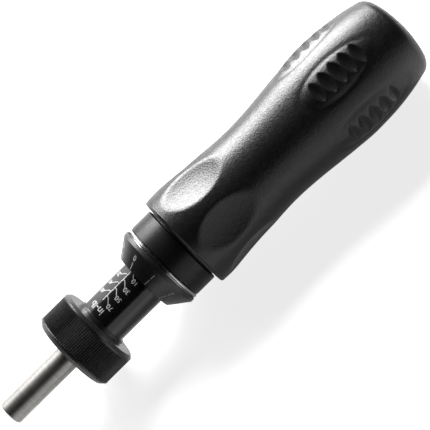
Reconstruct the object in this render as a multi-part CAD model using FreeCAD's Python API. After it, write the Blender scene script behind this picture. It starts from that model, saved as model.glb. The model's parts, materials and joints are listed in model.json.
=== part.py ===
import FreeCAD, Part
import math
import os

from FreeCAD import Vector

# Micrometer-type adjustable torque screwdriver, lying on its grip.
# Millimetres. The tool's axis is the X axis: the bit socket's mouth is at X = 0 and faces -X, the butt is at +X.
# Angles round the axis are in degrees from +Z towards -Y.

os.makedirs("parts", exist_ok=True)

# ---- clearances ----
RUN_GAP = 0.06          # radial clearance of turning and sliding metal fits
END_GAP = 0.12          # axial clearance beside a turning piece
BALL_GAP = 0.04         # clearance of a ball or roller in its pocket
SIDE_GAP = 0.3          # radial room round a turning piece that no wall guides

# ---- output spindle and its quarter-inch hexagon socket ----
SHANK_R = 4.6
SHANK_EDGE = 0.5
JOURNAL_STEP = 0.2      # the journal behind the ring's face is larger than the shank by this
HEX_FLATS = 6.45
HEX_DEPTH = 10.0
HEX_LEAD = 0.5
MAGNET_R = 2.5
MAGNET_LENGTH = 3.0
FLANGE_LENGTH = 2.8
PILOT_R = 2.5
PILOT_LENGTH = 12.0

# ---- knurled grip ring on the nose of the tube ----
RING_FRONT = 29.7
RING_LENGTH = 14.2
RING_R = 15.8
RING_WALL = 2.4
RING_FRONT_CHAMFER = 1.4
RING_REAR_CHAMFER = 1.1
RING_LAND = 0.7
KNURL_TEETH = 120
KNURL_DEPTH = 0.4
KNURL_CREST_DROP = 0.05
HUB_WALL = 0.75
HUB_LENGTH = 1.4
GRUB_R = 1.5
GRUB_LENGTH = 5.0
GRUB_FLATS = 1.5
RING_GRUB_ANGLE = 200.0

# ---- front bush and thrust bearing ----
BUSH_WALL = 1.4
BUSH_LENGTH = 5.0
RACE_THICKNESS = 0.9
THRUST_BALLS = 12
THRUST_BALL_SHARE = 0.34    # of the room between journal and race rim
THRUST_CAGE_THICKNESS = 0.8
THRUST_CAGE_WEB = 0.13

# ---- scale tube ----
TUBE_R = 8.95
TUBE_WALL = 1.55
TUBE_END = 116.0
NUT_STEP = 0.6
NUT_LENGTH = 10.0

# ---- slip clutch: canted rollers between the spindle's flange and a keyed pressure plate ----
CLUTCH_ROLLER_R = 1.0
CLUTCH_ROLLER_SHARE = 0.6   # of the room between pilot and flange rim
CLUTCH_ROLLERS = 8
ROLLER_CANT = 20.0
CLUTCH_CAGE_THICKNESS = 1.3
PLATE_LENGTH = 6.3
KEY_R = 0.8
KEY_LENGTH = 5.0
KEYS = 3
KEYWAY_ROOM = 0.6

# ---- main spring and its seats ----
WASHER_THICKNESS = 1.0
SPRING_WIRE_R = 0.85
SPRING_SIDE_GAP = 1.25
SPRING_SEAT_GAP = 0.45
SPRING_SEAT_LENGTH = 3.0
SPRING_TURNS = 8.0
SPRING_LENGTH = 37.4
PUSHER_LENGTH = 6.0
PIVOT_BALL_R = 2.5
PIVOT_CUP_DEPTH = 1.2

# ---- adjusting screw, trapezoidal thread 10 x 2 ----
SETTING_TRAVEL = 12.0
SCREW_R = 5.0
SCREW_COLLAR_R = 6.5
SCREW_COLLAR_LENGTH = 2.0
STUD_R = 4.0
LOCK_NUT_FLATS = 13.0
LOCK_NUT_LENGTH = 5.0
STUD_PROUD = 1.5

# ---- handle core ----
SPIGOT_WALL = 2.0
NECK_WALL = 4.0
CORE_FLANGE_STEP = 1.5
CORE_FLANGE_LENGTH = 3.2
CORE_WALL = 3.5
CORE_END_GAP = 2.0
CORE_END_LENGTH = 6.0

# ---- thimble ----
THIMBLE_FRONT = 65.0
THIMBLE_LENGTH = 8.2
THIMBLE_NOSE_R = 11.7
THIMBLE_R = 16.4
THIMBLE_RIM = 1.5
THIMBLE_EDGE = 0.25
THIMBLE_LIP = 1.6
THIMBLE_LIP_GAP = 0.3
THIMBLE_GRUB_R = 1.25
THIMBLE_GRUB_LENGTH = 3.0
THIMBLE_GRUB_FLATS = 1.3
THIMBLE_GRUB_ANGLE = 187.5

# ---- bright retaining ring and lock collar ----
BAND_LENGTH = 1.5
BAND_R = 16.2
BAND_STEP = 0.3
BAND_STEP_DROP = 1.1
BAND_CHAMFER = 0.35
COLLAR_R = 16.0
COLLAR_LENGTH = 8.7
COLLAR_CHAMFER = 0.3
O_RING_R = 0.6
O_RING_SET = 2.0        # from the collar's rear face to the seal's middle

# ---- lock pin, its cam in the collar and the flutes on the tube ----
FLUTES = 10
FLUTE_R = 1.35
FLUTE_DEPTH = 0.65
PIN_R = 1.5
PIN_TIP_R = 1.2
PIN_THROW = 0.8
PIN_REST_GAP = 0.25
PIN_SET = 4.4           # from the collar's front face to the pin's middle
PIN_ANGLE = 187.5
CAM_SWING = 40.0
CAM_RUN_IN = 8.0
CAM_HEIGHT = 0.7        # the pin's head above the core at rest
CAM_WIDTH_GAP = 0.15
CAM_UNDERCUT = 1.0      # how far the cam's cutter reaches into the collar's open bore
CAM_SAMPLES = 9

# ---- moulded grip ----
GRIP_GAP = 0.7          # from the collar's rear face
GRIP_LENGTH = 105.7
GRIP_FRONT_R = 18.9
GRIP_EDGE = 0.8
FRONT_SWELL_AT = 6.0
FRONT_SWELL_R = 19.1
WAIST_AT = 36.4
WAIST_R = 16.95
REAR_SWELL_AT = 75.5
REAR_SWELL_R = 19.75
TAIL_AT = 97.2
TAIL_R = 17.55
BUTT_DOME_R = 44.0
BUTT_CORNER_R = 16.2
BUTT_EDGE = 4.5
LOBES = 6
DIMPLE_LENGTH = 23.9
DIMPLE_FROM = 4.3       # from the grip's front face to the dimple's front end
DIMPLE_CURVE = 44.0
PAD_AT = 76.0           # from the grip's front face to the pad's middle
PAD_LENGTH = 36.0
PAD_HEIGHT = 0.55
PAD_CURVE = 12.4
PAD_END_SINK = 0.3      # the pad's ends run in below the grip's side by this
GROOVES = 5
GROOVE_PITCH = 4.75
GROOVE_SHIFT = 0.3      # from the pad's middle to the middle groove
GROOVE_DEPTH = 1.6
GROOVE_FADE = 0.3       # the first and last grooves are shallower by this
GROOVE_WIDTH = 4.4
GROOVE_WHEEL_R = 17.0
PAD_ANGLE = 30.0
DIMPLE_ANGLE = 0.0

# ---- radii that follow from the pieces they fit ----
JOURNAL_R = SHANK_R + JOURNAL_STEP
BUSH_R = JOURNAL_R + RUN_GAP + BUSH_WALL
TUBE_BORE_R = TUBE_R - TUBE_WALL
HUB_R = TUBE_R + HUB_WALL
NUT_R = TUBE_BORE_R + NUT_STEP
RACE_R = TUBE_BORE_R - SIDE_GAP
THRUST_BALL_R = (RACE_R - JOURNAL_R) * THRUST_BALL_SHARE
THRUST_PITCH_R = (RACE_R + JOURNAL_R) / 2
CLUTCH_PITCH_R = (RACE_R + PILOT_R) / 2
CLUTCH_ROLLER_LENGTH = (RACE_R - PILOT_R) * CLUTCH_ROLLER_SHARE
SPRING_COIL_R = TUBE_BORE_R - SPRING_SIDE_GAP - SPRING_WIRE_R
SPRING_SEAT_R = SPRING_COIL_R - SPRING_WIRE_R - SPRING_SEAT_GAP
CORE_BORE_R = TUBE_R + RUN_GAP
SPIGOT_R = CORE_BORE_R + SPIGOT_WALL
NECK_R = CORE_BORE_R + NECK_WALL
CORE_R = CORE_BORE_R + CORE_WALL
CORE_FLANGE_R = NECK_R + CORE_FLANGE_STEP

# ---- places along the axis, each worked out from the piece before it ----
NOSE = RING_FRONT + RING_WALL
SHOULDER = NOSE + BUSH_LENGTH
THRUST_MID = SHOULDER + RACE_THICKNESS + THRUST_BALL_R
REAR_RACE = THRUST_MID + THRUST_BALL_R
FLANGE_FRONT = REAR_RACE + RACE_THICKNESS
FLANGE_FACE = FLANGE_FRONT + FLANGE_LENGTH
CLUTCH_MID = FLANGE_FACE + CLUTCH_ROLLER_R
PLATE_FRONT = CLUTCH_MID + CLUTCH_ROLLER_R
PLATE_REAR = PLATE_FRONT + PLATE_LENGTH
SPRING_FRONT = PLATE_REAR + WASHER_THICKNESS
PUSHER_FACE = SPRING_FRONT + SPRING_LENGTH
PUSHER_REAR = PUSHER_FACE + PUSHER_LENGTH
PIVOT_MID = PUSHER_REAR - PIVOT_CUP_DEPTH + PIVOT_BALL_R
SCREW_FRONT = PIVOT_MID + PIVOT_BALL_R - PIVOT_CUP_DEPTH
WALL_FRONT = TUBE_END + SETTING_TRAVEL + CORE_END_GAP + SCREW_COLLAR_LENGTH
WALL_REAR = WALL_FRONT + CORE_END_LENGTH
STUD_END = WALL_REAR + LOCK_NUT_LENGTH + STUD_PROUD
THIMBLE_REAR = THIMBLE_FRONT + THIMBLE_LENGTH
CORE_FRONT = THIMBLE_FRONT + THIMBLE_LIP
BAND_REAR = THIMBLE_REAR + BAND_LENGTH
COLLAR_FRONT = BAND_REAR + END_GAP
COLLAR_REAR = COLLAR_FRONT + COLLAR_LENGTH
GRIP_FRONT = COLLAR_REAR + GRIP_GAP
CORE_FLANGE_FRONT = COLLAR_REAR + END_GAP
CORE_FLANGE_REAR = CORE_FLANGE_FRONT + CORE_FLANGE_LENGTH
PIN_AT = COLLAR_FRONT + PIN_SET


def turned(points):
    """A body of revolution about the tool's axis, from its (x, radius) outline."""
    corners = [Vector(x, 0, r) for x, r in points]
    face = Part.Face(Part.makePolygon(corners + corners[:1]))
    return face.revolve(Vector(0, 0, 0), Vector(1, 0, 0), 360)


def rod(x0, x1, radius):
    return Part.makeCylinder(radius, x1 - x0, Vector(x0, 0, 0), Vector(1, 0, 0))


def sleeve(x0, x1, radius, bore):
    return rod(x0, x1, radius).cut(rod(x0, x1, bore))


def spun(shape, angle):
    """A copy turned about the tool's axis by an angle from +Z towards -Y."""
    copy = shape.copy()
    copy.rotate(Vector(0, 0, 0), Vector(1, 0, 0), angle)
    return copy


def around(shape, count, start=0.0):
    return [spun(shape, start + i * 360.0 / count) for i in range(count)]


def rod_beside(x0, length, radius, offset):
    """A rod parallel to the tool's axis, straight above it."""
    return Part.makeCylinder(radius, length, Vector(x0, 0, offset), Vector(1, 0, 0))


def radial_rod(x, r0, r1, radius):
    """A rod that points away from the axis, straight up."""
    return Part.makeCylinder(radius, r1 - r0, Vector(x, 0, r0), Vector(0, 0, 1))


def corner_r(across_flats):
    return across_flats / 2 / math.cos(math.pi / 6)


def hexagon(across_flats, base, direction, length):
    """A hexagonal bar from a base point."""
    points = []
    for i in range(7):
        a = math.radians(60.0 * i)
        points.append(Vector(math.cos(a), math.sin(a), 0) * corner_r(across_flats))
    bar = Part.Face(Part.makePolygon(points)).extrude(Vector(0, 0, length))
    bar.Placement = FreeCAD.Placement(base, FreeCAD.Rotation(Vector(0, 0, 1), direction))
    return bar


def save(name, shape):
    shape = shape.removeSplitter()
    shape.exportStep("parts/%s.step" % name)


# ---- output ----

def output_spindle():
    pilot_end = FLANGE_FACE + PILOT_LENGTH
    body = turned([
        (0, 0), (0, SHANK_R - SHANK_EDGE), (SHANK_EDGE, SHANK_R),
        (RING_FRONT, SHANK_R), (RING_FRONT, JOURNAL_R),
        (FLANGE_FRONT, JOURNAL_R), (FLANGE_FRONT, RACE_R), (FLANGE_FACE, RACE_R),
        (FLANGE_FACE, PILOT_R), (pilot_end - SHANK_EDGE, PILOT_R),
        (pilot_end, PILOT_R - SHANK_EDGE), (pilot_end, 0)])
    socket = hexagon(HEX_FLATS, Vector(0, 0, 0), Vector(1, 0, 0), HEX_DEPTH)
    mouth_r = corner_r(HEX_FLATS)
    lead = Part.makeCone(mouth_r, mouth_r - HEX_LEAD, HEX_LEAD, Vector(0, 0, 0), Vector(1, 0, 0))
    magnet_hole = rod(HEX_DEPTH, HEX_DEPTH + MAGNET_LENGTH, MAGNET_R)
    return body.cut([socket, lead, magnet_hole])


def bit_magnet():
    return rod(HEX_DEPTH, HEX_DEPTH + MAGNET_LENGTH, MAGNET_R)


# ---- nose ----

def knurl_band(x0, x1):
    """Straight V knurl, as one toothed prism."""
    crest = RING_R - KNURL_CREST_DROP
    points = []
    for i in range(2 * KNURL_TEETH + 1):
        a = math.pi * i / KNURL_TEETH
        r = crest if i % 2 else crest - KNURL_DEPTH
        points.append(Vector(x0, -r * math.sin(a), r * math.cos(a)))
    return Part.Face(Part.makePolygon(points)).extrude(Vector(x1 - x0, 0, 0))


def knurled_ring():
    back = RING_FRONT + RING_LENGTH
    knurl_from = RING_FRONT + RING_FRONT_CHAMFER + RING_LAND
    knurl_to = back - RING_REAR_CHAMFER - RING_LAND
    front_rim = turned([
        (RING_FRONT, 0), (RING_FRONT, RING_R - RING_FRONT_CHAMFER),
        (RING_FRONT + RING_FRONT_CHAMFER, RING_R), (knurl_from, RING_R), (knurl_from, 0)])
    rear_rim = turned([
        (knurl_to, 0), (knurl_to, RING_R), (back - RING_REAR_CHAMFER, RING_R),
        (back, RING_R - RING_REAR_CHAMFER), (back, HUB_R), (back + HUB_LENGTH, HUB_R),
        (back + HUB_LENGTH, 0)])
    body = front_rim.fuse([knurl_band(knurl_from, knurl_to), rear_rim])
    bore = rod(NOSE, back + HUB_LENGTH, TUBE_R)
    front_hole = rod(RING_FRONT, NOSE, JOURNAL_R + SIDE_GAP)
    grub_hole = spun(radial_rod(ring_grub_at(), 0, RING_R + 1, GRUB_R), RING_GRUB_ANGLE)
    return body.cut([bore, front_hole, grub_hole])


def ring_grub_at():
    return RING_FRONT + RING_LENGTH / 2


def grub_screw(x, base_r, radius, length, flats, angle):
    screw = radial_rod(x, base_r, base_r + length, radius)
    socket = hexagon(flats, Vector(x, 0, base_r + length / 2), Vector(0, 0, 1), length)
    return spun(screw.cut(socket), angle)


def front_bush():
    return sleeve(NOSE, SHOULDER, BUSH_R, JOURNAL_R + RUN_GAP)


def thrust_race(x0, bore_gap):
    return sleeve(x0, x0 + RACE_THICKNESS, RACE_R, JOURNAL_R + bore_gap)


def thrust_balls():
    ball = Part.makeSphere(THRUST_BALL_R - BALL_GAP / 4, Vector(THRUST_MID, 0, THRUST_PITCH_R))
    return Part.makeCompound(around(ball, THRUST_BALLS))


def thrust_cage():
    front = THRUST_MID - THRUST_CAGE_THICKNESS / 2
    window_r = THRUST_BALL_R + BALL_GAP
    half_width = window_r + THRUST_CAGE_WEB
    ring = sleeve(front, front + THRUST_CAGE_THICKNESS, THRUST_PITCH_R + half_width, THRUST_PITCH_R - half_width)
    return ring.cut(around(rod_beside(front, THRUST_CAGE_THICKNESS, window_r, THRUST_PITCH_R), THRUST_BALLS))


# ---- scale tube ----

def scale_tube():
    body = rod(NOSE, TUBE_END, TUBE_R)
    bush_seat = rod(NOSE, SHOULDER, BUSH_R)
    bore = rod(SHOULDER, TUBE_END, TUBE_BORE_R)
    nut_seat = rod(TUBE_END - NUT_LENGTH, TUBE_END, NUT_R)
    keyway = rod_beside(PLATE_FRONT, PLATE_LENGTH + KEYWAY_ROOM, KEY_R + RUN_GAP, TUBE_BORE_R)
    flute = rod_beside(
        PIN_AT - SETTING_TRAVEL - PIN_R, SETTING_TRAVEL + 2 * PIN_R, FLUTE_R, TUBE_R - FLUTE_DEPTH + FLUTE_R)
    return body.cut([bush_seat, bore, nut_seat] + around(keyway, KEYS) + around(flute, FLUTES, PIN_ANGLE))


def tube_end_nut():
    return sleeve(TUBE_END - NUT_LENGTH, TUBE_END, NUT_R, SCREW_R + RUN_GAP)


# ---- clutch ----

def canted(shape):
    """A shape on the clutch's pitch circle, turned about its own axis line along the tool by the rollers' cant."""
    copy = shape.copy()
    copy.rotate(Vector(CLUTCH_MID, 0, CLUTCH_PITCH_R), Vector(1, 0, 0), ROLLER_CANT)
    return copy


def clutch_rollers():
    half = CLUTCH_ROLLER_LENGTH / 2
    roller = radial_rod(
        CLUTCH_MID, CLUTCH_PITCH_R - half, CLUTCH_PITCH_R + half, CLUTCH_ROLLER_R - BALL_GAP / 4)
    return Part.makeCompound(around(canted(roller), CLUTCH_ROLLERS))


def clutch_cage():
    front = CLUTCH_MID - CLUTCH_CAGE_THICKNESS / 2
    half = CLUTCH_ROLLER_LENGTH / 2 + BALL_GAP
    half_width = CLUTCH_ROLLER_R + BALL_GAP
    ring = sleeve(front, front + CLUTCH_CAGE_THICKNESS, RACE_R - SIDE_GAP, PILOT_R + SIDE_GAP)
    window = Part.makeBox(
        CLUTCH_CAGE_THICKNESS, 2 * half_width, 2 * half, Vector(front, -half_width, CLUTCH_PITCH_R - half))
    return ring.cut(around(canted(window), CLUTCH_ROLLERS))


def pressure_plate():
    body = turned([
        (PLATE_FRONT, PILOT_R + RUN_GAP), (PLATE_FRONT, TUBE_BORE_R - RUN_GAP),
        (PLATE_REAR, TUBE_BORE_R - RUN_GAP), (PLATE_REAR, SPRING_SEAT_R),
        (PLATE_REAR + SPRING_SEAT_LENGTH, SPRING_SEAT_R), (PLATE_REAR + SPRING_SEAT_LENGTH, PILOT_R + RUN_GAP)])
    return body.cut(around(plate_key(), KEYS))


def plate_key():
    return rod_beside(PLATE_FRONT, KEY_LENGTH, KEY_R, TUBE_BORE_R)


def spring_washer():
    return sleeve(PLATE_REAR, SPRING_FRONT, TUBE_BORE_R - 2 * RUN_GAP, SPRING_SEAT_R)


def main_spring():
    first = SPRING_FRONT + SPRING_WIRE_R
    last = PUSHER_FACE - SPRING_WIRE_R
    helix = Part.makeHelix((last - first) / SPRING_TURNS, last - first, SPRING_COIL_R)
    start = Vector(SPRING_COIL_R, 0, 0)
    section = Part.Wire(Part.Circle(start, Vector(0, 1, 0), SPRING_WIRE_R).toShape())
    coil = Part.Wire(helix.Edges).makePipeShell([section], True, True)
    coil.Placement = FreeCAD.Placement(Vector(first, 0, 0), FreeCAD.Rotation(Vector(0, 0, 1), Vector(1, 0, 0)))
    return coil


def spring_pusher():
    body = turned([
        (PUSHER_FACE - SPRING_SEAT_LENGTH, 0), (PUSHER_FACE - SPRING_SEAT_LENGTH, SPRING_SEAT_R),
        (PUSHER_FACE, SPRING_SEAT_R), (PUSHER_FACE, TUBE_BORE_R - RUN_GAP),
        (PUSHER_REAR, TUBE_BORE_R - RUN_GAP), (PUSHER_REAR, 0)])
    return body.cut(pivot_ball())


def pivot_ball():
    return Part.makeSphere(PIVOT_BALL_R, Vector(PIVOT_MID, 0, 0))


# ---- handle ----

def adjusting_screw():
    body = turned([
        (SCREW_FRONT, 0), (SCREW_FRONT, SCREW_R - SHANK_EDGE), (SCREW_FRONT + SHANK_EDGE, SCREW_R),
        (WALL_FRONT - SCREW_COLLAR_LENGTH, SCREW_R), (WALL_FRONT - SCREW_COLLAR_LENGTH, SCREW_COLLAR_R),
        (WALL_FRONT, SCREW_COLLAR_R), (WALL_FRONT, STUD_R), (STUD_END, STUD_R), (STUD_END, 0)])
    return body.cut(Part.makeSphere(PIVOT_BALL_R + BALL_GAP, Vector(PIVOT_MID, 0, 0)))


def screw_lock_nut():
    bar = hexagon(LOCK_NUT_FLATS, Vector(WALL_REAR, 0, 0), Vector(1, 0, 0), LOCK_NUT_LENGTH)
    return bar.cut(rod(WALL_REAR, WALL_REAR + LOCK_NUT_LENGTH, STUD_R))


def seal_at():
    return COLLAR_REAR - O_RING_SET


def handle_core():
    body = turned([
        (CORE_FRONT, CORE_BORE_R), (CORE_FRONT, SPIGOT_R), (THIMBLE_REAR, SPIGOT_R), (THIMBLE_REAR, NECK_R),
        (CORE_FLANGE_FRONT, NECK_R), (CORE_FLANGE_FRONT, CORE_FLANGE_R), (CORE_FLANGE_REAR, CORE_FLANGE_R),
        (CORE_FLANGE_REAR, CORE_R), (WALL_REAR, CORE_R), (WALL_REAR, STUD_R), (WALL_FRONT, STUD_R),
        (WALL_FRONT, CORE_BORE_R)])
    seal_groove = sleeve(seal_at() - O_RING_R, seal_at() + O_RING_R, NECK_R, NECK_R - 2 * O_RING_R)
    pin_hole = spun(radial_rod(PIN_AT, 0, NECK_R, PIN_R + RUN_GAP), PIN_ANGLE)
    return body.cut([seal_groove, pin_hole])


def collar_o_ring():
    return Part.makeTorus(NECK_R - O_RING_R, O_RING_R, Vector(seal_at(), 0, 0), Vector(1, 0, 0))


def thimble_grub_at():
    return (CORE_FRONT + THIMBLE_REAR) / 2


def thimble():
    rim_front = THIMBLE_REAR - THIMBLE_RIM
    lip_r = TUBE_R + THIMBLE_LIP_GAP
    body = turned([
        (THIMBLE_FRONT, lip_r), (THIMBLE_FRONT, THIMBLE_NOSE_R - THIMBLE_EDGE),
        (THIMBLE_FRONT + THIMBLE_EDGE, THIMBLE_NOSE_R), (rim_front, THIMBLE_R),
        (THIMBLE_REAR - THIMBLE_EDGE, THIMBLE_R), (THIMBLE_REAR, THIMBLE_R - THIMBLE_EDGE),
        (THIMBLE_REAR, SPIGOT_R), (CORE_FRONT, SPIGOT_R), (CORE_FRONT, lip_r)])
    hole = spun(radial_rod(thimble_grub_at(), 0, THIMBLE_R, THIMBLE_GRUB_R), THIMBLE_GRUB_ANGLE)
    return body.cut(hole)


def retaining_ring():
    step_end = THIMBLE_REAR + BAND_STEP
    step_r = BAND_R - BAND_STEP_DROP
    return turned([
        (THIMBLE_REAR, NECK_R), (THIMBLE_REAR, step_r), (step_end, step_r),
        (step_end, BAND_R - BAND_CHAMFER), (step_end + BAND_CHAMFER, BAND_R),
        (BAND_REAR - BAND_CHAMFER, BAND_R), (BAND_REAR, BAND_R - BAND_CHAMFER), (BAND_REAR, NECK_R)])


def cam_cutter():
    """The lock cam: a spiral pocket whose depth falls evenly from the pin's rest to its locked place."""
    top = NECK_R + CAM_HEIGHT + BALL_GAP
    floor_r = NECK_R - CAM_UNDERCUT
    last = CAM_SAMPLES - 1

    def point(angle, r):
        a = math.radians(angle)
        return Vector(0, -r * math.sin(a), r * math.cos(a))

    spiral = Part.BSplineCurve()
    spiral.interpolate([
        point(CAM_SWING * i / last, top - PIN_THROW * i / last) for i in range(CAM_SAMPLES)])
    dwell = Part.Arc(point(-CAM_RUN_IN, top), point(-CAM_RUN_IN / 2, top), point(0, top))
    bed = Part.Arc(
        point(CAM_SWING, floor_r), point((CAM_SWING - CAM_RUN_IN) / 2, floor_r), point(-CAM_RUN_IN, floor_r))
    edges = [
        dwell.toShape(), spiral.toShape(),
        Part.makeLine(point(CAM_SWING, top - PIN_THROW), point(CAM_SWING, floor_r)),
        bed.toShape(), Part.makeLine(point(-CAM_RUN_IN, floor_r), point(-CAM_RUN_IN, top))]
    half_width = PIN_R + CAM_WIDTH_GAP
    pocket = Part.Face(Part.Wire(edges)).extrude(Vector(2 * half_width, 0, 0))
    pocket.translate(Vector(PIN_AT - half_width, 0, 0))
    return spun(pocket, PIN_ANGLE)


def lock_collar():
    bore_r = NECK_R + RUN_GAP
    body = turned([
        (COLLAR_FRONT, bore_r), (COLLAR_FRONT, COLLAR_R - COLLAR_CHAMFER),
        (COLLAR_FRONT + COLLAR_CHAMFER, COLLAR_R), (COLLAR_REAR - COLLAR_CHAMFER, COLLAR_R),
        (COLLAR_REAR, COLLAR_R - COLLAR_CHAMFER), (COLLAR_REAR, bore_r)])
    return body.cut(cam_cutter())


def lock_pin():
    """Round pin with a domed head under the cam and a ball nose over a flute."""
    tip = TUBE_R + PIN_REST_GAP
    head = NECK_R + CAM_HEIGHT
    shank = radial_rod(PIN_AT, tip + PIN_TIP_R, head, PIN_R)
    nose = Part.makeSphere(PIN_TIP_R, Vector(PIN_AT, 0, tip + PIN_TIP_R))
    dome = Part.makeSphere(2 * PIN_R, Vector(PIN_AT, 0, head - 2 * PIN_R))
    return spun(shank.common(dome).fuse(nose), PIN_ANGLE)


# ---- grip ----

def grip_station(at, radius):
    return Vector(GRIP_FRONT + at, 0, radius)


def butt_face_at(radius):
    """Where the butt's shallow dome has a given radius."""
    sag = BUTT_DOME_R - math.sqrt(BUTT_DOME_R ** 2 - radius ** 2)
    return GRIP_LENGTH - sag


def grip_side():
    """The grip's side from its front face to the butt's corner."""
    side = Part.BSplineCurve()
    side.interpolate([
        grip_station(0, GRIP_FRONT_R), grip_station(FRONT_SWELL_AT, FRONT_SWELL_R),
        grip_station(WAIST_AT, WAIST_R), grip_station(REAR_SWELL_AT, REAR_SWELL_R),
        grip_station(TAIL_AT, TAIL_R), grip_station(butt_face_at(BUTT_CORNER_R), BUTT_CORNER_R)])
    return side.toShape()


def side_point(at):
    """The point of the grip's side at a distance from its front face, straight above the axis."""
    upright = Part.makeLine(grip_station(at, 0), grip_station(at, 2 * REAR_SWELL_R))
    return grip_side().distToShape(upright)[1][0][0]


def grip_blank():
    side = grip_side()
    corner = grip_station(butt_face_at(BUTT_CORNER_R), BUTT_CORNER_R)
    apex = grip_station(GRIP_LENGTH, 0)
    dome = Part.Arc(corner, grip_station(butt_face_at(BUTT_CORNER_R / 2), BUTT_CORNER_R / 2), apex)
    foot = grip_station(0, 0)
    edges = [side, dome.toShape(), Part.makeLine(apex, foot), Part.makeLine(foot, grip_station(0, GRIP_FRONT_R))]
    blank = Part.Face(Part.Wire(edges)).revolve(Vector(0, 0, 0), Vector(1, 0, 0), 360)
    butt_edges = [e for e in blank.Edges if on_circle(e, corner.x, BUTT_CORNER_R)]
    front_edges = [e for e in blank.Edges if on_circle(e, GRIP_FRONT, GRIP_FRONT_R)]
    return blank.makeFillet(BUTT_EDGE, butt_edges).makeFillet(GRIP_EDGE, front_edges)


def on_circle(edge, x, radius):
    """Is the edge a full circle about the tool's axis with this place and radius?"""
    return abs(edge.CenterOfMass.x - x) < 1e-3 and abs(edge.Length - 2 * math.pi * radius) < 1e-3


def finger_dimple():
    """A ball-end scoop that meets the grip's side at the dimple's two ends."""
    ends = [side_point(DIMPLE_FROM), side_point(DIMPLE_FROM + DIMPLE_LENGTH)]
    middle = (ends[0] + ends[1]) * 0.5
    along = (ends[1] - ends[0]) * 0.5
    lift = math.sqrt(DIMPLE_CURVE ** 2 - along.Length ** 2)
    outward = Vector(-along.z, 0, along.x).normalize()
    return Part.makeSphere(DIMPLE_CURVE, middle + outward * lift)


def pad_ends():
    return [PAD_AT - PAD_LENGTH / 2, PAD_AT + PAD_LENGTH / 2]


def pad_crest():
    """The pad's crest line: an arc from below the grip's side, over the pad's height, to below it again."""
    low = min(side_point(at).z for at in pad_ends()) - PAD_END_SINK
    front, rear = pad_ends()
    return Part.Arc(
        grip_station(front, low), grip_station(PAD_AT, REAR_SWELL_R + PAD_HEIGHT), grip_station(rear, low)).toShape()


def raised_pad():
    """An almond-shaped swelling: its crest line spun about a line parallel to the tool's axis."""
    crest = pad_crest()
    ends = [crest.Vertexes[0].Point, crest.Vertexes[-1].Point]
    line = REAR_SWELL_R + PAD_HEIGHT - PAD_CURVE
    feet = [Vector(p.x, 0, line) for p in ends]
    edges = [crest] + [Part.makeLine(a, b) for a, b in zip([ends[1], feet[1], feet[0]], [feet[1], feet[0], ends[0]])]
    return Part.Face(Part.Wire(edges)).revolve(Vector(0, 0, line), Vector(1, 0, 0), 360)


def pad_groove(index):
    """One lens-shaped groove: the cut of a V-edged wheel whose axis lies along the tool."""
    half_count = (GROOVES - 1) / 2
    offset = (index - half_count) * GROOVE_PITCH
    at = PAD_AT + GROOVE_SHIFT + offset
    upright = Part.makeLine(grip_station(at, 0), grip_station(at, 2 * REAR_SWELL_R))
    crest = pad_crest().distToShape(upright)[1][0][0]
    depth = GROOVE_DEPTH - GROOVE_FADE * ((index - half_count) / half_count) ** 2
    bottom = crest.z - depth
    rise = 2 * GROOVE_DEPTH
    tip = Vector(crest.x, 0, bottom)
    sides = [Vector(crest.x + GROOVE_WIDTH, 0, bottom + rise), Vector(crest.x - GROOVE_WIDTH, 0, bottom + rise)]
    face = Part.Face(Part.makePolygon([tip] + sides + [tip]))
    return face.revolve(Vector(0, 0, bottom + GROOVE_WHEEL_R), Vector(1, 0, 0), 360)


def grip():
    body = grip_blank().fuse(around(raised_pad(), LOBES, PAD_ANGLE))
    body = body.cut(around(finger_dimple(), LOBES, DIMPLE_ANGLE))
    grooves = []
    for i in range(GROOVES):
        grooves += around(pad_groove(i), LOBES, PAD_ANGLE)
    cavity = turned([
        (GRIP_FRONT, 0), (GRIP_FRONT, CORE_FLANGE_R), (CORE_FLANGE_REAR, CORE_FLANGE_R), (CORE_FLANGE_REAR, CORE_R),
        (WALL_REAR, CORE_R), (STUD_END + CORE_END_GAP, CORE_R - CORE_END_GAP), (STUD_END + CORE_END_GAP, 0)])
    return body.cut(grooves).cut(cavity)


PIECES = {
    "output_spindle": output_spindle,
    "bit_magnet": bit_magnet,
    "knurled_ring": knurled_ring,
    "ring_grub_screw": lambda: grub_screw(
        ring_grub_at(), TUBE_R, GRUB_R, GRUB_LENGTH, GRUB_FLATS, RING_GRUB_ANGLE),
    "front_bush": front_bush,
    "thrust_race_front": lambda: thrust_race(SHOULDER, SIDE_GAP),
    "thrust_balls": thrust_balls,
    "thrust_cage": thrust_cage,
    "thrust_race_rear": lambda: thrust_race(REAR_RACE, 0),
    "scale_tube": scale_tube,
    "tube_end_nut": tube_end_nut,
    "clutch_rollers": clutch_rollers,
    "clutch_cage": clutch_cage,
    "pressure_plate": pressure_plate,
    "plate_keys": lambda: Part.makeCompound(around(plate_key(), KEYS)),
    "spring_washer": spring_washer,
    "main_spring": main_spring,
    "spring_pusher": spring_pusher,
    "pivot_ball": pivot_ball,
    "adjusting_screw": adjusting_screw,
    "screw_lock_nut": screw_lock_nut,
    "handle_core": handle_core,
    "thimble": thimble,
    "thimble_grub_screw": lambda: grub_screw(
        thimble_grub_at(), SPIGOT_R, THIMBLE_GRUB_R, THIMBLE_GRUB_LENGTH, THIMBLE_GRUB_FLATS,
        THIMBLE_GRUB_ANGLE),
    "retaining_ring": retaining_ring,
    "lock_collar": lock_collar,
    "collar_o_ring": collar_o_ring,
    "lock_pin": lock_pin,
    "grip": grip,
}

for piece, make in PIECES.items():
    save(piece, make())
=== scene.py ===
"""Looks of the torque screwdriver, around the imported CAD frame. Metres, in the CAD frame.

Angles round the tool's axis are in degrees from +Z towards -Y, and the grip's own sizes are in millimetres,
both as in the part's source.
"""
import json
import math

import bpy
import numpy as np
from mathutils import Matrix, Vector


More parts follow.
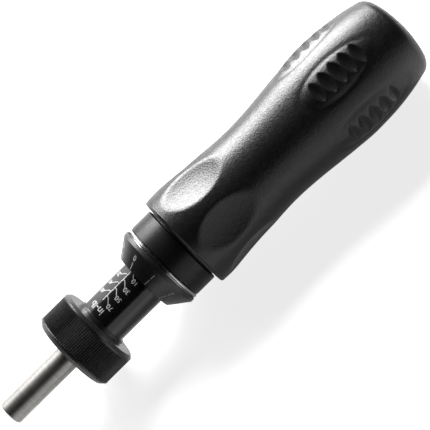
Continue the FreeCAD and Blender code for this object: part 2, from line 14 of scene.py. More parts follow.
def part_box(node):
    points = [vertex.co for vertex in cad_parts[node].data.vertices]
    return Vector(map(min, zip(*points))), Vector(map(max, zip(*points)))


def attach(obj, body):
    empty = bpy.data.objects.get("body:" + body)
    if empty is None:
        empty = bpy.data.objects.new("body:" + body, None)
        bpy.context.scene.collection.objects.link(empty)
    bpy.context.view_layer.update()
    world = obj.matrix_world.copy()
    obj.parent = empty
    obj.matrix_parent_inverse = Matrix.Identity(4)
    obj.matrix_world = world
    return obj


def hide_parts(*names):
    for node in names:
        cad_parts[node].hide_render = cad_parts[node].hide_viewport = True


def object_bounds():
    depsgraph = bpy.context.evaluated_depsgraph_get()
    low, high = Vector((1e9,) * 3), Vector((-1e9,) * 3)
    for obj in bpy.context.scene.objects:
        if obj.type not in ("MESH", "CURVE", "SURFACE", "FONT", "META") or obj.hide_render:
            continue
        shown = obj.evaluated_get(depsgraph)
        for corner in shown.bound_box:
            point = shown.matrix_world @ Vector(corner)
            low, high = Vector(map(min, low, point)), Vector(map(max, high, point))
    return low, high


MM = 0.001
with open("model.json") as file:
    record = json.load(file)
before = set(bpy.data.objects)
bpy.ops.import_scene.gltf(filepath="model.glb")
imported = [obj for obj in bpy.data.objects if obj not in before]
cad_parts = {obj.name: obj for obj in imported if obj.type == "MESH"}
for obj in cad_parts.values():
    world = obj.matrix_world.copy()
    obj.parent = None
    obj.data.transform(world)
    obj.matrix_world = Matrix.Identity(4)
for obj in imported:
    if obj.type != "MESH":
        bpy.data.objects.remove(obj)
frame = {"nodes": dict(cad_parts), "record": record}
cad_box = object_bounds()
nodes = frame["nodes"]

# ---- view ----
VIEW_ANGLE = 42.0           # from +Z towards -Y
VIEW_ROLL = 44.75           # how far the tool's axis rises to the right in the picture
VIEW_DISTANCE = 430 * MM
VIEW_WIDTH = 148.65 * MM    # what the picture takes in at the tool's axis
VIEW_AT = 98.6 * MM         # the place along the tool that the camera faces
VIEW_DROP = -0.9 * MM       # the tool's axis lies this far above the picture's middle
SENSOR_MM = 36
NEAREST = 0.01              # nothing closer than this is drawn


# ---- materials ----
NOISE_LOW, NOISE_HIGH = 0.3, 0.7    # most of a noise lies between these


class Material:
    """A Principled material with a small set of procedural parts. Noise scales are in lumps a metre."""

    def __init__(self, name, color, roughness, metallic=0.0, specular=None):
        self.mat = bpy.data.materials.new(name)
        self.mat.use_nodes = True
        self.tree = self.mat.node_tree
        self.shader = self.tree.nodes["Principled BSDF"]
        self.color = color
        self.shader.inputs["Base Color"].default_value = (*color, 1)
        self.shader.inputs["Roughness"].default_value = roughness
        self.shader.inputs["Metallic"].default_value = metallic
        if specular is not None:
            self.shader.inputs["Specular IOR Level"].default_value = specular
        self.normal = None

    def node(self, kind, **inputs):
        n = self.tree.nodes.new(kind)
        for key, value in inputs.items():
            n.inputs[key.replace("_", " ")].default_value = value
        return n

    def link(self, out, socket):
        self.tree.links.new(out, socket)

    def coordinates(self, scale):
        """Object coordinates, stretched by a scale per axis."""
        where = self.node("ShaderNodeTexCoord")
        stretch = self.node("ShaderNodeMapping", Scale=scale)
        self.link(where.outputs["Object"], stretch.inputs["Vector"])
        return stretch.outputs["Vector"]

    def noise(self, scale, detail=3.0, stretch=(1, 1, 1)):
        """A noise. A larger stretch along X than round it gives turning lines."""
        n = self.node("ShaderNodeTexNoise", Scale=scale, Detail=detail)
        self.link(self.coordinates(stretch), n.inputs["Vector"])
        return n.outputs["Fac"]

    def spread(self, fac, low, high):
        """Maps the middle of a noise to a range of values."""
        m = self.node("ShaderNodeMapRange", From_Min=NOISE_LOW, From_Max=NOISE_HIGH, To_Min=low, To_Max=high)
        self.link(fac, m.inputs["Value"])
        return m.outputs["Result"]

    def tint(self, fac, dark, light):
        """Base colour that wanders between two shares of its own value."""
        mix = self.node("ShaderNodeMix")
        mix.data_type = "RGBA"
        mix.inputs["A"].default_value = (*[c * dark for c in self.color], 1)
        mix.inputs["B"].default_value = (*[min(c * light, 1) for c in self.color], 1)
        self.link(self.spread(fac, 0, 1), mix.inputs["Factor"])
        self.link(mix.outputs["Result"], self.shader.inputs["Base Color"])
        return self

    def rough(self, fac, low, high):
        self.link(self.spread(fac, low, high), self.shader.inputs["Roughness"])
        return self

    def soft_edges(self, radius):
        """Rounds sharp edges in the shading, as a real edge is broken by a small radius."""
        edge = self.node("ShaderNodeBevel", Radius=radius)
        self.normal = edge.outputs["Normal"]
        return self

    def bump(self, height, distance, strength=1.0):
        b = self.node("ShaderNodeBump", Strength=strength, Distance=distance)
        self.link(height, b.inputs["Height"])
        if self.normal:
            self.link(self.normal, b.inputs["Normal"])
        self.normal = b.outputs["Normal"]
        self.link(self.normal, self.shader.inputs["Normal"])
        return self


def grip_plastic():
    m = Material("grip_plastic", (0.013, 0.013, 0.014), 0.36, specular=0.62)
    m.tint(m.noise(60), 0.8, 1.25).rough(m.noise(900), 0.31, 0.41)
    return m.bump(m.noise(1500, 2), 0.09 * MM, 1.0)


def gloss_anodised():
    m = Material("gloss_anodised", (0.010, 0.010, 0.011), 0.16, specular=0.8)
    m.tint(m.noise(80), 0.8, 1.3).rough(m.noise(500, 3, (6, 1, 1)), 0.12, 0.20).soft_edges(0.2 * MM)
    return m.bump(m.noise(900, 2, (8, 0.3, 0.3)), 0.003 * MM, 0.5)


def satin_anodised():
    m = Material("satin_anodised", (0.014, 0.014, 0.015), 0.34, specular=0.8)
    m.tint(m.noise(80), 0.8, 1.3).rough(m.noise(1500, 2, (6, 0.2, 0.2)), 0.28, 0.40).soft_edges(0.2 * MM)
    return m.bump(m.noise(1500, 2, (4, 0.05, 0.05)), 0.01 * MM, 0.6)


def collar_black():
    m = Material("collar_black", (0.010, 0.010, 0.011), 0.3, specular=0.35)
    m.tint(m.noise(80), 0.8, 1.3).rough(m.noise(900, 3, (6, 1, 1)), 0.26, 0.36).soft_edges(0.2 * MM)
    return m.bump(m.noise(1200, 2, (6, 0.3, 0.3)), 0.004 * MM, 0.5)


def core_black():
    m = Material("core_black", (0.012, 0.012, 0.013), 0.45, specular=0.3)
    m.tint(m.noise(200), 0.8, 1.2).rough(m.noise(900), 0.40, 0.52)
    return m.bump(m.noise(1400, 2), 0.004 * MM, 0.5)


def knurled_anodised():
    m = Material("knurled_anodised", (0.014, 0.014, 0.015), 0.26, specular=0.8)
    m.tint(m.noise(120), 0.7, 1.4).rough(m.noise(900), 0.24, 0.38).soft_edges(0.35 * MM)
    return m.bump(m.noise(1800, 2), 0.006 * MM, 0.5)


def turned_steel():
    m = Material("turned_steel", (0.43, 0.42, 0.405), 0.4, metallic=1.0)
    m.tint(m.noise(150, 3, (6, 1, 1)), 0.9, 1.08).rough(m.noise(1300, 2, (8, 0.3, 0.3)), 0.36, 0.46)
    return m.bump(m.noise(1600, 2, (6, 0.05, 0.05)), 0.006 * MM, 0.6)


def plain_metal(name, color, low, high):
    m = Material(name, color, (low + high) / 2, metallic=1.0)
    m.tint(m.noise(200), 0.88, 1.1).rough(m.noise(900), low, high)
    return m.bump(m.noise(1400, 2), 0.004 * MM, 0.5)


def black_steel():
    m = Material("black_steel", (0.02, 0.02, 0.02), 0.35, metallic=0.6)
    return m.tint(m.noise(300), 0.7, 1.4).rough(m.noise(900), 0.28, 0.42)


def seal_rubber():
    m = Material("seal_rubber", (0.015, 0.015, 0.015), 0.6)
    m.tint(m.noise(300), 0.8, 1.3).rough(m.noise(900), 0.5, 0.7)
    return m.bump(m.noise(2500, 2), 0.01 * MM, 0.5)


def mark_paint():
    m = Material("mark_paint", (0.80, 0.80, 0.78), 0.5)
    m.tint(m.noise(1200), 0.86, 1.06).rough(m.noise(900), 0.42, 0.6)
    return m.bump(m.noise(3000, 2), 0.004 * MM, 0.5)


MATERIALS = {
    "grip_plastic": grip_plastic(),
    "gloss_anodised": gloss_anodised(),
    "satin_anodised": satin_anodised(),
    "knurled_anodised": knurled_anodised(),
    "turned_steel": turned_steel(),
    "hard_steel": plain_metal("hard_steel", (0.60, 0.60, 0.60), 0.10, 0.18),
    "spring_steel": plain_metal("spring_steel", (0.33, 0.32, 0.31), 0.28, 0.40),
    "bright_ring": plain_metal("bright_ring", (0.60, 0.60, 0.60), 0.14, 0.24),
    "bronze": plain_metal("bronze", (0.52, 0.34, 0.17), 0.28, 0.42),
    "aluminium": plain_metal("aluminium", (0.66, 0.67, 0.68), 0.26, 0.38),
    "magnet": plain_metal("magnet", (0.45, 0.45, 0.46), 0.22, 0.34),
    "black_steel": black_steel(),
    "seal_rubber": seal_rubber(),
}
# the neck is duller than the tube, and the core shows black in the gap in front of the grip
OWN_FINISH = {"lock_collar": collar_black(), "handle_core": core_black()}
for part in frame["record"]["subparts"]:
    mesh = nodes[part["node"]].data
    mesh.materials.clear()
    mesh.materials.append(OWN_FINISH.get(part["node"], MATERIALS[part["material_slot"]]).mat)
MARK_PAINT = mark_paint().mat


# ---- places ----

def on_axis(x, r, angle):
    """The point at a place along the tool, a distance from its axis and an angle."""
    a = math.radians(angle)
    return Vector((x, -r * math.sin(a), r * math.cos(a)))


def mesh_object(name, verts, faces, material, smooth=False):
    mesh = bpy.data.meshes.new(name)
    mesh.from_pydata([tuple(v) for v in verts], [], faces)
    mesh.materials.append(material)
    mesh.update()
    if smooth:
        mesh.polygons.foreach_set("use_smooth", [True] * len(mesh.polygons))
    return placed(bpy.data.objects.new(name, mesh))


def placed(obj):
    bpy.context.scene.collection.objects.link(obj)
    return obj


def turned_to(obj, right, up, back, at):
    """Places a lamp or camera that looks away from back."""
    rows = [(right[i], up[i], back[i], at[i]) for i in range(3)]
    obj.matrix_world = Matrix((*rows, (0, 0, 0, 1)))


# ---- moulded grip ----
GRIP_STATIONS = [(0, 18.9), (6, 19.1), (36.4, 16.95), (75.5, 19.75), (97.2, 17.55)]
REAR_SWELL = 3              # the station that the pads sit on
GRIP_LENGTH = 105.7
BUTT_DOME_R = 44.0
BUTT_CORNER_R = 16.2
BUTT_EDGE = 4.5
GRIP_EDGE = 0.8
LOBES = 6
DIMPLE_ANGLE = 0
DIMPLE_FROM = 4.3
DIMPLE_LENGTH = 23.9
DIMPLE_CURVE = 44.0
DIMPLE_RIM = 0.55
PAD_ANGLE = 30
PAD_AT = 76.0
PAD_LENGTH = 36.0
PAD_HEIGHT = 0.55
PAD_CURVE = 12.4
PAD_LINE_R = GRIP_STATIONS[REAR_SWELL][1] + PAD_HEIGHT - PAD_CURVE     # the centre of the pads' curve
PAD_END_SINK = 0.3
PAD_CREASE = 0.2
PAD_FILLET_DEPTH = 0.3      # how far the skin sinks in the fillet round a pad
PAD_FILLET_SPAN = 0.28
GROOVES = 5
GROOVE_MIDDLE = (GROOVES - 1) / 2
GROOVE_PITCH = 4.75
GROOVE_SHIFT = 0.3
GROOVE_FRONT = PAD_AT + GROOVE_SHIFT - (GROOVE_MIDDLE + 0.5) * GROOVE_PITCH
GROOVE_DEPTH = 1.6
GROOVE_FADE = 0.3
GROOVE_WIDTH = 4.4
GROOVE_WHEEL_R = 17.0
GROOVE_FLARE = 1.5          # 1 is a straight V, more is rounder towards its rim
GROOVE_LIP = 0.12
SKIN = 0.015                # the grip stays inside its CAD box by this
CORE_FLANGE_STEP = 2.0      # the core's flange stands out from it by this
CORE_FLANGE_DEPTH = 3.0
BORE_STEP = 2.0             # how much narrower the bore gets towards its bottom
BORE_BEYOND_SCREW = 2.0
ROWS_AROUND = 336
EDGE_ROWS = 6
DIMPLE_ROW = 0.35           # pitch of the rows of points along the dimples, and so on
DIMPLE_ROWS_BEYOND = 2      # how far past the dimples that pitch goes on
WAIST_ROW = 0.7
WAIST_ROW_FIRST = 0.6
PAD_ROW = 0.45
PAD_ROW_CLEAR = 0.2         # room left in front of the grooves' own rows
PAD_ROW_AFTER = 0.4         # and behind them
BUTT_ROW = 0.6
GROOVE_ROWS = np.array([0.06, 0.3, 0.6, 0.9, 1.2, 1.5, 1.8, 2.1, 2.3])     # each way from a groove's valley
CORNER_ROWS = 14
DOME_ROWS = 16
DOME_HOLE = 0.02            # share of the dome's arc that the end point closes
SEARCH_REACH = 20.0         # the corner's circle is looked for this far past the side, by halving
SEARCH_STEPS = 60
MISSED = 99.0               # the radius of a cutter where it cuts nothing


def natural_spline(xs, ys):
    """The natural cubic spline through some points, as a function of an array."""
    xs, ys = np.array(xs, float), np.array(ys, float)
    n = len(xs)
    h = np.diff(xs)
    a = np.eye(n)
    b = np.zeros(n)
    for i in range(1, n - 1):
        a[i, i - 1:i + 2] = h[i - 1], 2 * (h[i - 1] + h[i]), h[i]
        b[i] = 6 * ((ys[i + 1] - ys[i]) / h[i] - (ys[i] - ys[i - 1]) / h[i - 1])
    m = np.linalg.solve(a, b)

    def at(x):
        i = np.clip(np.searchsorted(xs, x) - 1, 0, n - 2)
        t, u = x - xs[i], xs[i + 1] - x
        return (m[i] * u ** 3 + m[i + 1] * t ** 3) / (6 * h[i]) + (
            ys[i] / h[i] - m[i] * h[i] / 6) * u + (ys[i + 1] / h[i] - m[i + 1] * h[i] / 6) * t
    return at


def blend_min(a, b, k):
    """The smaller of two surfaces, with a rounding of about k where they meet."""
    h = np.clip(k - np.abs(a - b), 0, None) / k
    return np.minimum(a, b) - h * h * k / 4


def blend_max(a, b, k):
    return -blend_min(-a, -b, k)


def lobe_angle(angle, start):
    """Each angle's distance from the nearest lobe, in radians."""
    pitch = 2 * math.pi / LOBES
    a = angle - math.radians(start)
    return (a + pitch / 2) % pitch - pitch / 2


def crossings(centre, squared_r, da):
    """Where rays from the tool's axis enter and leave a round section, and which of them meet it."""
    disc = squared_r - (centre * np.sin(da)) ** 2
    reach = np.sqrt(np.clip(disc, 0, None))
    return centre * np.cos(da) - reach, centre * np.cos(da) + reach, disc > 0


def butt_x(r):
    return GRIP_LENGTH - (BUTT_DOME_R - np.sqrt(BUTT_DOME_R ** 2 - np.square(r)))


def grip_side():
    """The grip's radius without its features, as a function of the distance from its front face."""
    stations = GRIP_STATIONS + [(float(butt_x(BUTT_CORNER_R)), BUTT_CORNER_R)]
    return natural_spline([s[0] for s in stations], [s[1] for s in stations])


def pad_arc_r(side):
    """The radius of the arc that a pad's crest follows from end to end."""
    half = PAD_LENGTH / 2
    low = min(side(np.array([PAD_AT - half, PAD_AT + half]))) - PAD_END_SINK
    rise = PAD_LINE_R + PAD_CURVE - low
    return (half ** 2 + rise ** 2) / (2 * rise)


def pad_crest(x, arc_r):
    return PAD_LINE_R + PAD_CURVE - arc_r + np.sqrt(np.clip(arc_r ** 2 - (x - PAD_AT) ** 2, 0, None))


def with_pads(r, x, angle, arc_r):
    section_r = pad_crest(x, arc_r) - PAD_LINE_R
    _, leave, met = crossings(PAD_LINE_R, section_r ** 2, lobe_angle(angle, PAD_ANGLE))
    pad = np.where(met & (np.abs(x - PAD_AT) < PAD_LENGTH / 2), leave, 0)
    edge = (pad - r) / PAD_FILLET_SPAN
    return blend_max(r - PAD_FILLET_DEPTH * np.exp(-edge ** 2), pad, PAD_CREASE)


def with_dimples(r, x, angle, side):
    """A ball of the dimple's curve cuts the side between the dimple's two ends."""
    places = (DIMPLE_FROM, DIMPLE_FROM + DIMPLE_LENGTH)
    ends = [np.array([at, float(side(np.array([at]))[0])]) for at in places]
    mid, along = (ends[0] + ends[1]) / 2, (ends[1] - ends[0]) / 2
    lift = math.sqrt(DIMPLE_CURVE ** 2 - along @ along)
    out = np.array([-along[1], along[0]]) / np.linalg.norm(along)
    ball_x, ball_r = mid + out * lift
    enter, _, met = crossings(ball_r, DIMPLE_CURVE ** 2 - (x - ball_x) ** 2, lobe_angle(angle, DIMPLE_ANGLE))
    return blend_min(r, np.where(met, enter, MISSED), DIMPLE_RIM)


def groove_place(i):
    return GROOVE_FRONT + (i + 0.5) * GROOVE_PITCH


def with_grooves(r, x, angle, arc_r):
    """A wheel with a pointed rim cuts each groove across its pad, less deep at the ends of the row."""
    for i in range(GROOVES):
        at = groove_place(i)
        from_middle = (i - GROOVE_MIDDLE) / GROOVE_MIDDLE
        centre = pad_crest(at, arc_r) - GROOVE_DEPTH + GROOVE_FADE * from_middle ** 2 + GROOVE_WHEEL_R
        flank = GROOVE_DEPTH * (np.abs(x - at) * 2 / GROOVE_WIDTH) ** GROOVE_FLARE
        wheel = np.clip(GROOVE_WHEEL_R - flank, 0, None)
        enter, _, met = crossings(centre, wheel ** 2, lobe_angle(angle, PAD_ANGLE))
        r = blend_min(r, np.where(met, enter, MISSED), GROOVE_LIP)
    return r


def grip_radius(x, angle):
    """The grip's radius in mm at a distance from its front face and an angle, both arrays."""
    side = grip_side()
    arc_r = pad_arc_r(side)
    r = with_pads(side(x), x, angle, arc_r)
    r = with_dimples(r, x, angle, side)
    return with_grooves(r, x, angle, arc_r) - SKIN


def side_places():
    """Distances from the front face of the side's rows of points, which are closer at its features."""
    rows = list(np.arange(GRIP_EDGE, DIMPLE_FROM + DIMPLE_LENGTH + DIMPLE_ROWS_BEYOND, DIMPLE_ROW))
    rows += list(np.arange(rows[-1] + WAIST_ROW_FIRST, PAD_AT - PAD_LENGTH / 2, WAIST_ROW))
    rows += list(np.arange(rows[-1] + PAD_ROW, GROOVE_FRONT - PAD_ROW_CLEAR, PAD_ROW))
    for i in range(GROOVES):
        at = groove_place(i)
        rows += list(at - GROOVE_ROWS[::-1]) + [at] + list(at + GROOVE_ROWS)
    rows += list(np.arange(rows[-1] + PAD_ROW_AFTER, PAD_AT + PAD_LENGTH / 2, PAD_ROW))
    rows += list(np.arange(rows[-1] + BUTT_ROW, butt_x(BUTT_CORNER_R) - BUTT_EDGE, BUTT_ROW))
    return np.array(rows)


def butt_profile(x0, r0, slope):
    """Points of the butt's rounded corner and dome after the last side row, as (x, r).

    The corner is a circle of the edge radius that lies inside the dome and touches the side's end line.
    """
    dome_centre = GRIP_LENGTH - BUTT_DOME_R
    nx, nr = -slope / math.hypot(1, slope), 1 / math.hypot(1, slope)
    near, far = 0.0, SEARCH_REACH
    for _ in range(SEARCH_STEPS):
        s = (near + far) / 2
        cx = x0 + s - nx * BUTT_EDGE
        cr = r0 + slope * s - nr * BUTT_EDGE
        if math.hypot(cx - dome_centre, cr) < BUTT_DOME_R - BUTT_EDGE:
            near = s
        else:
            far = s
    start, end = math.atan2(nr, nx), math.atan2(cr, cx - dome_centre)
    points = [(cx + BUTT_EDGE * math.cos(a), cr + BUTT_EDGE * math.sin(a))
              for a in np.linspace(start, end, CORNER_ROWS)]
    rim = math.asin(points[-1][1] / BUTT_DOME_R)
    points += [(dome_centre + BUTT_DOME_R * math.cos(a), BUTT_DOME_R * math.sin(a))
               for a in np.linspace(rim, DOME_HOLE * rim, DOME_ROWS)[1:]]
    return points


def round_row(x, r):
    return np.full(ROWS_AROUND, x), np.full(ROWS_AROUND, r)


def bore_rows(front):
    """The bore for the handle's core, from its bottom to the front face."""
    core_end, screw_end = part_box("handle_core")[1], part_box("adjusting_screw")[1]
    flange_r = max(core_end.z, core_end.y) / MM
    core_r = flange_r - CORE_FLANGE_STEP
    return [round_row((screw_end.x + BORE_BEYOND_SCREW * MM - front) / MM, core_r - BORE_STEP),
            round_row((core_end.x - front) / MM, core_r),
            round_row(CORE_FLANGE_DEPTH, core_r),
            round_row(CORE_FLANGE_DEPTH, flange_r),
            round_row(0.0, flange_r)]


def front_edge_rows(angles):
    """The rounding between the front face and the side, from the face on."""
    edge_r = grip_radius(np.full(ROWS_AROUND, GRIP_EDGE), angles)
    turns = np.linspace(0, math.pi / 2, EDGE_ROWS)[:-1]
    return [(np.full(ROWS_AROUND, GRIP_EDGE * (1 - math.sin(t))), edge_r - GRIP_EDGE * (1 - math.cos(t)))
            for t in turns[::-1]]


def side_and_butt_rows(angles):
    xs = side_places()
    gx, ga = np.meshgrid(xs, angles, indexing="ij")
    side = grip_radius(gx, ga)
    slope = float((side[-1][0] - side[-2][0]) / (xs[-1] - xs[-2]))
    rows = [(np.full(ROWS_AROUND, x), side[i]) for i, x in enumerate(xs)]
    return rows + [round_row(x, r) for x, r in butt_profile(float(xs[-1]), float(side[-1][0]), slope)]


def moulded_grip():
    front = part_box("grip")[0].x
    angles = np.arange(ROWS_AROUND) * 2 * math.pi / ROWS_AROUND
    rows = bore_rows(front) + front_edge_rows(angles) + side_and_butt_rows(angles)
    verts = []
    for x, r in rows:
        y, z = -r * np.sin(angles), r * np.cos(angles)
        verts += list(zip(front + x * MM, y * MM, z * MM))
    first = len(verts)
    last = first + 1
    verts += [(front + rows[0][0][0] * MM, 0, 0), (front + GRIP_LENGTH * MM, 0, 0)]
    faces = []
    for i in range(0, first - ROWS_AROUND, ROWS_AROUND):
        for j in range(ROWS_AROUND):
            k = (j + 1) % ROWS_AROUND
            faces.append((i + j, i + ROWS_AROUND + j, i + ROWS_AROUND + k, i + k))
    for j in range(ROWS_AROUND):
        k = (j + 1) % ROWS_AROUND
        faces.append((first, j, k))
        faces.append((first - ROWS_AROUND + j, last, first - ROWS_AROUND + k))
    obj = mesh_object("moulded_grip", verts, faces, MATERIALS["grip_plastic"].mat, smooth=True)
    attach(obj, "handle")
    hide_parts("grip")


# ---- scale marks ----
LINE_WIDTH = 0.24 * MM
TICK_WIDTH = 0.2 * MM
MARK_PROUD = 0.02 * MM
MARK_SUNK = 0.06 * MM
CAP_SHARE = 0.69            # a numeral's height, as a share of its font's size
CURVE_STEPS = 3
DATUM_ANGLE = 4.0
FIRST_BEHIND_THIMBLE = 0.1 * MM
LINE_BEHIND_FIRST = 0.1 * MM
LINE_BEFORE_LAST = 1.9 * MM
LINE_POINTS = 12
SCALE_PITCH = 2.0 * MM
SCALE_STEPS = 7
SCALE_UNIT = 10             # one mark stands for this many in-lb
TICK_STRAIGHT = (0, 3.2, 6.5)       # degrees from the datum line
TICK_SLANT_ANGLE = 11.5
TICK_SLANT = 1.65 * MM
TICK_SLANT_SHARES = (0.25, 0.5, 0.75, 1.0)
NUMERAL_HEIGHT = 1.7 * MM
NUMERAL_AHEAD = 1.9 * MM
NUMERAL_ANGLE = 25.5
UNIT_HEIGHT = 2.5 * MM
UNIT_AHEAD = 5.0 * MM
UNIT_ANGLE = 3.0
CONE_NOSE = 0.25 * MM       # from the thimble's front edge to the start of its cone
CONE_NOSE_R = 11.7 * MM
CONE_RIM = 6.7 * MM
CONE_RIM_R = 16.4 * MM
THIMBLE_ZERO_ANGLE = 10.0
THIMBLE_STEPS = 10
THIMBLE_TICK = (0.15 * MM, 2.6 * MM)
THIMBLE_TICK_POINTS = 4
THIMBLE_NUMERAL_AT = 4.1 * MM
THIMBLE_NUMERAL_HEIGHT = 1.75 * MM


class Wrap:
    """Lays flat shapes on a cone or cylinder round the tool's axis."""

    def __init__(self, x0, r0, slope=0.0):
        self.x0, self.r0, self.slope = x0, r0, slope

    def radius(self, x):
        return self.r0 + (x - self.x0) * self.slope

    def point(self, x, angle, lift):
        tilt = math.atan(self.slope)
        r = self.radius(x) + lift * math.cos(tilt)
        return on_axis(x - lift * math.sin(tilt), r, angle)

    def ribbon(self, path, width):
        """A line of (x, angle) points with a width, as a closed strip that is a little sunk."""
        verts, faces = [], []
        r = self.radius(path[0][0])
        flat = [Vector((x, math.radians(a) * r)) for x, a in path]
        for i, p in enumerate(flat):
            before = flat[max(i - 1, 0)]
            after = flat[min(i + 1, len(flat) - 1)]
            along = (after - before).normalized()
            side = Vector((-along.y, along.x)) * width / 2
            for q, lift in ((p + side, MARK_PROUD), (p - side, MARK_PROUD),
                            (p - side, -MARK_SUNK), (p + side, -MARK_SUNK)):
                verts.append(self.point(q.x, math.degrees(q.y / r), lift))
        for i in range(len(flat) - 1):
            a, b = 4 * i, 4 * i + 4
            for j in range(4):
                k = (j + 1) % 4
                faces.append((a + j, a + k, b + k, b + j))
        end = 4 * (len(flat) - 1)
        faces += [(3, 2, 1, 0), (end, end + 1, end + 2, end + 3)]
        return verts, faces

    def text(self, body, x, angle, height):
        """Text whose top faces the tip and which reads towards smaller angles, centred at a place."""
        curve = bpy.data.curves.new("text", "FONT")
        curve.body = body
        curve.size = height / CAP_SHARE
        curve.align_x = "CENTER"
        curve.align_y = "CENTER"
        curve.extrude = (MARK_PROUD + MARK_SUNK) / 2
        curve.resolution_u = CURVE_STEPS
        obj = bpy.data.objects.new("text", curve)
        mesh = bpy.data.meshes.new_from_object(obj)
        r = self.radius(x)
        verts = []
        for v in mesh.vertices:
            lift = MARK_PROUD if v.co.z > 0 else -MARK_SUNK
            verts.append(self.point(x - v.co.y, angle - math.degrees(v.co.x / r), lift))
        faces = [tuple(p.vertices)[::-1] for p in mesh.polygons]
        bpy.data.objects.remove(obj)
        bpy.data.curves.remove(curve)
        bpy.data.meshes.remove(mesh)
        return verts, faces


def painted(name, parts, body):
    verts, faces = [], []
    for v, f in parts:
        faces += [tuple(i + len(verts) for i in face) for face in f]
        verts += v
    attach(mesh_object(name, verts, faces, MARK_PAINT), body)


def tube_marks():
    """The scale: a datum line, with marks and numerals to one side and the other by turns."""
    tube_low, tube_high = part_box("scale_tube")
    wrap = Wrap(tube_low.x, max(tube_high.y, tube_high.z))
    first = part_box("thimble")[0].x + FIRST_BEHIND_THIMBLE
    last = first - (SCALE_STEPS - 1) * SCALE_PITCH
    line = np.linspace(last - LINE_BEFORE_LAST, first + LINE_BEHIND_FIRST, LINE_POINTS)
    parts = [wrap.ribbon([(x, DATUM_ANGLE) for x in line], LINE_WIDTH)]
    for i in range(SCALE_STEPS):
        x = first - i * SCALE_PITCH
        side = 1 if i % 2 == 0 else -1
        path = [(x, DATUM_ANGLE + side * a) for a in TICK_STRAIGHT]
        path += [(x - TICK_SLANT * t, DATUM_ANGLE + side * (TICK_STRAIGHT[-1] + TICK_SLANT_ANGLE * t))
                 for t in TICK_SLANT_SHARES]
        parts.append(wrap.ribbon(path, TICK_WIDTH))
        numeral = str(SCALE_UNIT * (i + 1))
        angle = DATUM_ANGLE + side * NUMERAL_ANGLE
        parts.append(wrap.text(numeral, x - NUMERAL_AHEAD, angle, NUMERAL_HEIGHT))
    parts.append(wrap.text("in-lb", last - UNIT_AHEAD, DATUM_ANGLE + UNIT_ANGLE, UNIT_HEIGHT))
    painted("tube_marks", parts, "barrel")


def thimble_marks():
    """The thimble's ten divisions, a tick and a numeral each, on its cone."""
    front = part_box("thimble")[0].x
    nose = front + CONE_NOSE
    wrap = Wrap(nose, CONE_NOSE_R, (CONE_RIM_R - CONE_NOSE_R) / (CONE_RIM - CONE_NOSE))
    parts = []
    for i in range(THIMBLE_STEPS):
        angle = THIMBLE_ZERO_ANGLE + 360 / THIMBLE_STEPS * i
        tick = np.linspace(nose + THIMBLE_TICK[0], nose + THIMBLE_TICK[1], THIMBLE_TICK_POINTS)
        parts.append(wrap.ribbon([(x, angle) for x in tick], TICK_WIDTH))
        parts.append(wrap.text(str(i), nose + THIMBLE_NUMERAL_AT, angle, THIMBLE_NUMERAL_HEIGHT))
    painted("thimble_marks", parts, "handle")


moulded_grip()
tube_marks()
thimble_marks()


# ---- floor, lights, camera ----
FLOOR_HALF = 6.0
FLOOR_COLOR = 0.6
FLOOR_ROUGHNESS = 0.9
FLOOR_GLOW = 0.80           # the floor seen straight, on top of the light that falls on it
MIRRORED_GLOW = 0.22        # the floor seen in the tool's own surfaces
WORLD_LIGHT = 0.12
WORLD_SEEN = 1.0


def math_node(tree, operation, a, b):
    """A maths node fed by sockets or plain numbers. Returns its output."""
    n = tree.nodes.new("ShaderNodeMath")
    n.operation = operation
    for socket, value in zip(n.inputs, (a, b)):
        if isinstance(value, float):
            socket.default_value = value
        else:
            tree.links.new(value, socket)
    return n.outputs[0]


def floor_material():
    mat = bpy.data.materials.new("studio_floor")
    mat.use_nodes = True
    tree = mat.node_tree
    shader = tree.nodes["Principled BSDF"]
    shader.inputs["Base Color"].default_value = (FLOOR_COLOR, FLOOR_COLOR, FLOOR_COLOR, 1)
    shader.inputs["Roughness"].default_value = FLOOR_ROUGHNESS
    shader.inputs["Specular IOR Level"].default_value = 0.0
    ray = tree.nodes.new("ShaderNodeLightPath").outputs
    mirrored = math_node(tree, "MAXIMUM", ray["Is Glossy Ray"], ray["Is Transmission Ray"])
    dimmed = math_node(tree, "MULTIPLY", mirrored, MIRRORED_GLOW / FLOOR_GLOW)
    seen = math_node(tree, "MAXIMUM", ray["Is Camera Ray"], dimmed)
    shader.inputs["Emission Color"].default_value = (1, 1, 1, 1)
    tree.links.new(math_node(tree, "MULTIPLY", seen, FLOOR_GLOW), shader.inputs["Emission Strength"])
    return mat


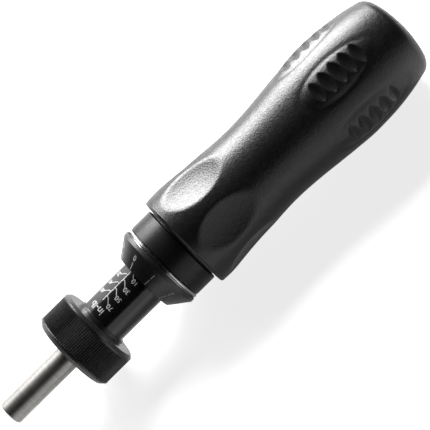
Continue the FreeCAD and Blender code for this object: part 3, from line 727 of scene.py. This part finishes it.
def stage_floor():
    z = cad_box[0][2]
    corners = [(-1, -1), (1, -1), (1, 1), (-1, 1)]
    verts = [(x * FLOOR_HALF, y * FLOOR_HALF, z) for x, y in corners]
    mesh_object("studio_floor", verts, [(0, 1, 2, 3)], floor_material())


def area_light(name, angle, distance, length, width, power, x=VIEW_AT):
    """A softbox that faces the tool's axis at x, its length along the tool."""
    light = bpy.data.lights.new(name, "AREA")
    light.shape = "RECTANGLE"
    light.size = length
    light.size_y = width
    light.energy = power
    at = on_axis(x, distance, angle)
    back = (at - Vector((x, 0, 0))).normalized()
    right = Vector((1, 0, 0))
    turned_to(placed(bpy.data.objects.new(name, light)), right, back.cross(right), back, at)


def studio():
    area_light("wide_softbox", angle=-60, distance=0.9, length=1.4, width=0.9, power=7.5)
    area_light("grip_softbox", angle=-50, distance=0.45, length=0.34, width=0.26, power=5.5, x=0.245)
    area_light("side_fill", angle=82, distance=0.9, length=1.4, width=0.35, power=0.9)
    world = bpy.data.worlds.new("studio")
    bpy.context.scene.world = world
    world.use_nodes = True
    tree = world.node_tree
    level = tree.nodes.new("ShaderNodeMapRange")
    level.inputs["To Min"].default_value = WORLD_LIGHT
    level.inputs["To Max"].default_value = WORLD_SEEN
    tree.links.new(tree.nodes.new("ShaderNodeLightPath").outputs["Is Camera Ray"], level.inputs["Value"])
    tree.links.new(level.outputs["Result"], tree.nodes["Background"].inputs["Strength"])


def camera():
    a, roll = math.radians(VIEW_ANGLE), math.radians(VIEW_ROLL)
    toward = Vector((0, -math.sin(a), math.cos(a)))
    across = Vector((0, math.cos(a), math.sin(a)))
    along = Vector((1, 0, 0))
    right = along * math.cos(roll) - across * math.sin(roll)
    up = along * math.sin(roll) + across * math.cos(roll)
    data = bpy.data.cameras.new("camera")
    data.sensor_width = SENSOR_MM
    data.lens = SENSOR_MM * VIEW_DISTANCE / VIEW_WIDTH
    data.clip_start = NEAREST
    obj = placed(bpy.data.objects.new("camera", data))
    turned_to(obj, right, up, toward, along * VIEW_AT + across * VIEW_DROP + toward * VIEW_DISTANCE)
    bpy.context.scene.camera = obj


stage_floor()
studio()
camera()
bpy.context.scene.view_settings.view_transform = "Standard"
